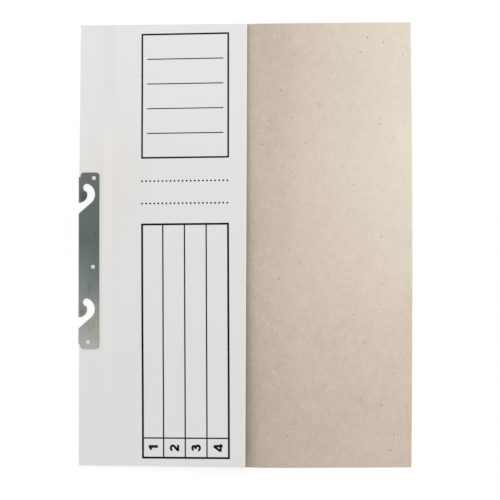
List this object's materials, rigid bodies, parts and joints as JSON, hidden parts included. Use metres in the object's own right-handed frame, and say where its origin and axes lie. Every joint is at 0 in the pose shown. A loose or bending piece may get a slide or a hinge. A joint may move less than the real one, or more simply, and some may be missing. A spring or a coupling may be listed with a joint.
{
  "type": "half-cover fastener folder",
  "caption": "A4 board folder with a half front cover, a steel strip with hooks for a lever arch file on its spine, and a tinplate prong fastener inside.",
  "frame": {"origin": "on the table, under the middle of the closed folder", "axes": "+X from the spine to the free edge, +Y up the page, +Z from the back cover to the front cover"},
  "size_m": [0.232, 0.309, 0.0048],
  "materials": {
    "white_board": "white coated outside, grey-beige recycled fibre inside",
    "grey_paper": "matt",
    "zinc_steel": "satin zinc plate, lightly scuffed",
    "bright_steel": "polished",
    "tinplate": "satin"
  },
  "bodies": {
    "spine": {"spine_fold": "white_board", "hook_strip": "zinc_steel", "rivet_upper": "bright_steel", "rivet_middle": "bright_steel", "rivet_lower": "bright_steel"},
    "back": {"back_cover": "white_board", "fastener_base": "tinplate", "paper_strip": "grey_paper", "compressor_bar": "tinplate"},
    "front": {"front_half_cover": "white_board"},
    "prong_up": {"upper_prong": "tinplate"},
    "prong_down": {"lower_prong": "tinplate"},
    "slider_up": {"upper_slider": "tinplate"},
    "slider_down": {"lower_slider": "tinplate"}
  },
  "joints": [
    {"name": "front_cover_opens", "type": "hinge", "parent": "spine", "child": "front", "pos_m": [-0.099, 0, 0.00165], "axis": [0, -1, 0], "range_deg": [0, 155]},
    {"name": "back_cover_bends_back", "type": "hinge", "parent": "spine", "child": "back", "pos_m": [-0.099, 0, 0.0008], "axis": [0, 1, 0], "range_deg": [0, 150]},
    {"name": "upper_prong_stands_up", "type": "hinge", "parent": "back", "child": "prong_up", "pos_m": [-0.086, 0.04, 0.00213], "axis": [-1, 0, 0], "range_deg": [0, 90]},
    {"name": "lower_prong_stands_up", "type": "hinge", "parent": "back", "child": "prong_down", "pos_m": [-0.086, -0.04, 0.00213], "axis": [1, 0, 0], "range_deg": [0, 90]},
    {"name": "upper_slider_locks", "type": "slide", "parent": "back", "child": "slider_up", "axis": [0, 1, 0], "range_m": [0, 0.02]},
    {"name": "lower_slider_locks", "type": "slide", "parent": "back", "child": "slider_down", "axis": [0, -1, 0], "range_m": [0, 0.02]}
  ],
  "couplings": [
    {"joint": "upper_prong_stands_up", "follows": "front_cover_opens", "ratio": 0.58},
    {"joint": "lower_prong_stands_up", "follows": "front_cover_opens", "ratio": 0.58}
  ]
}
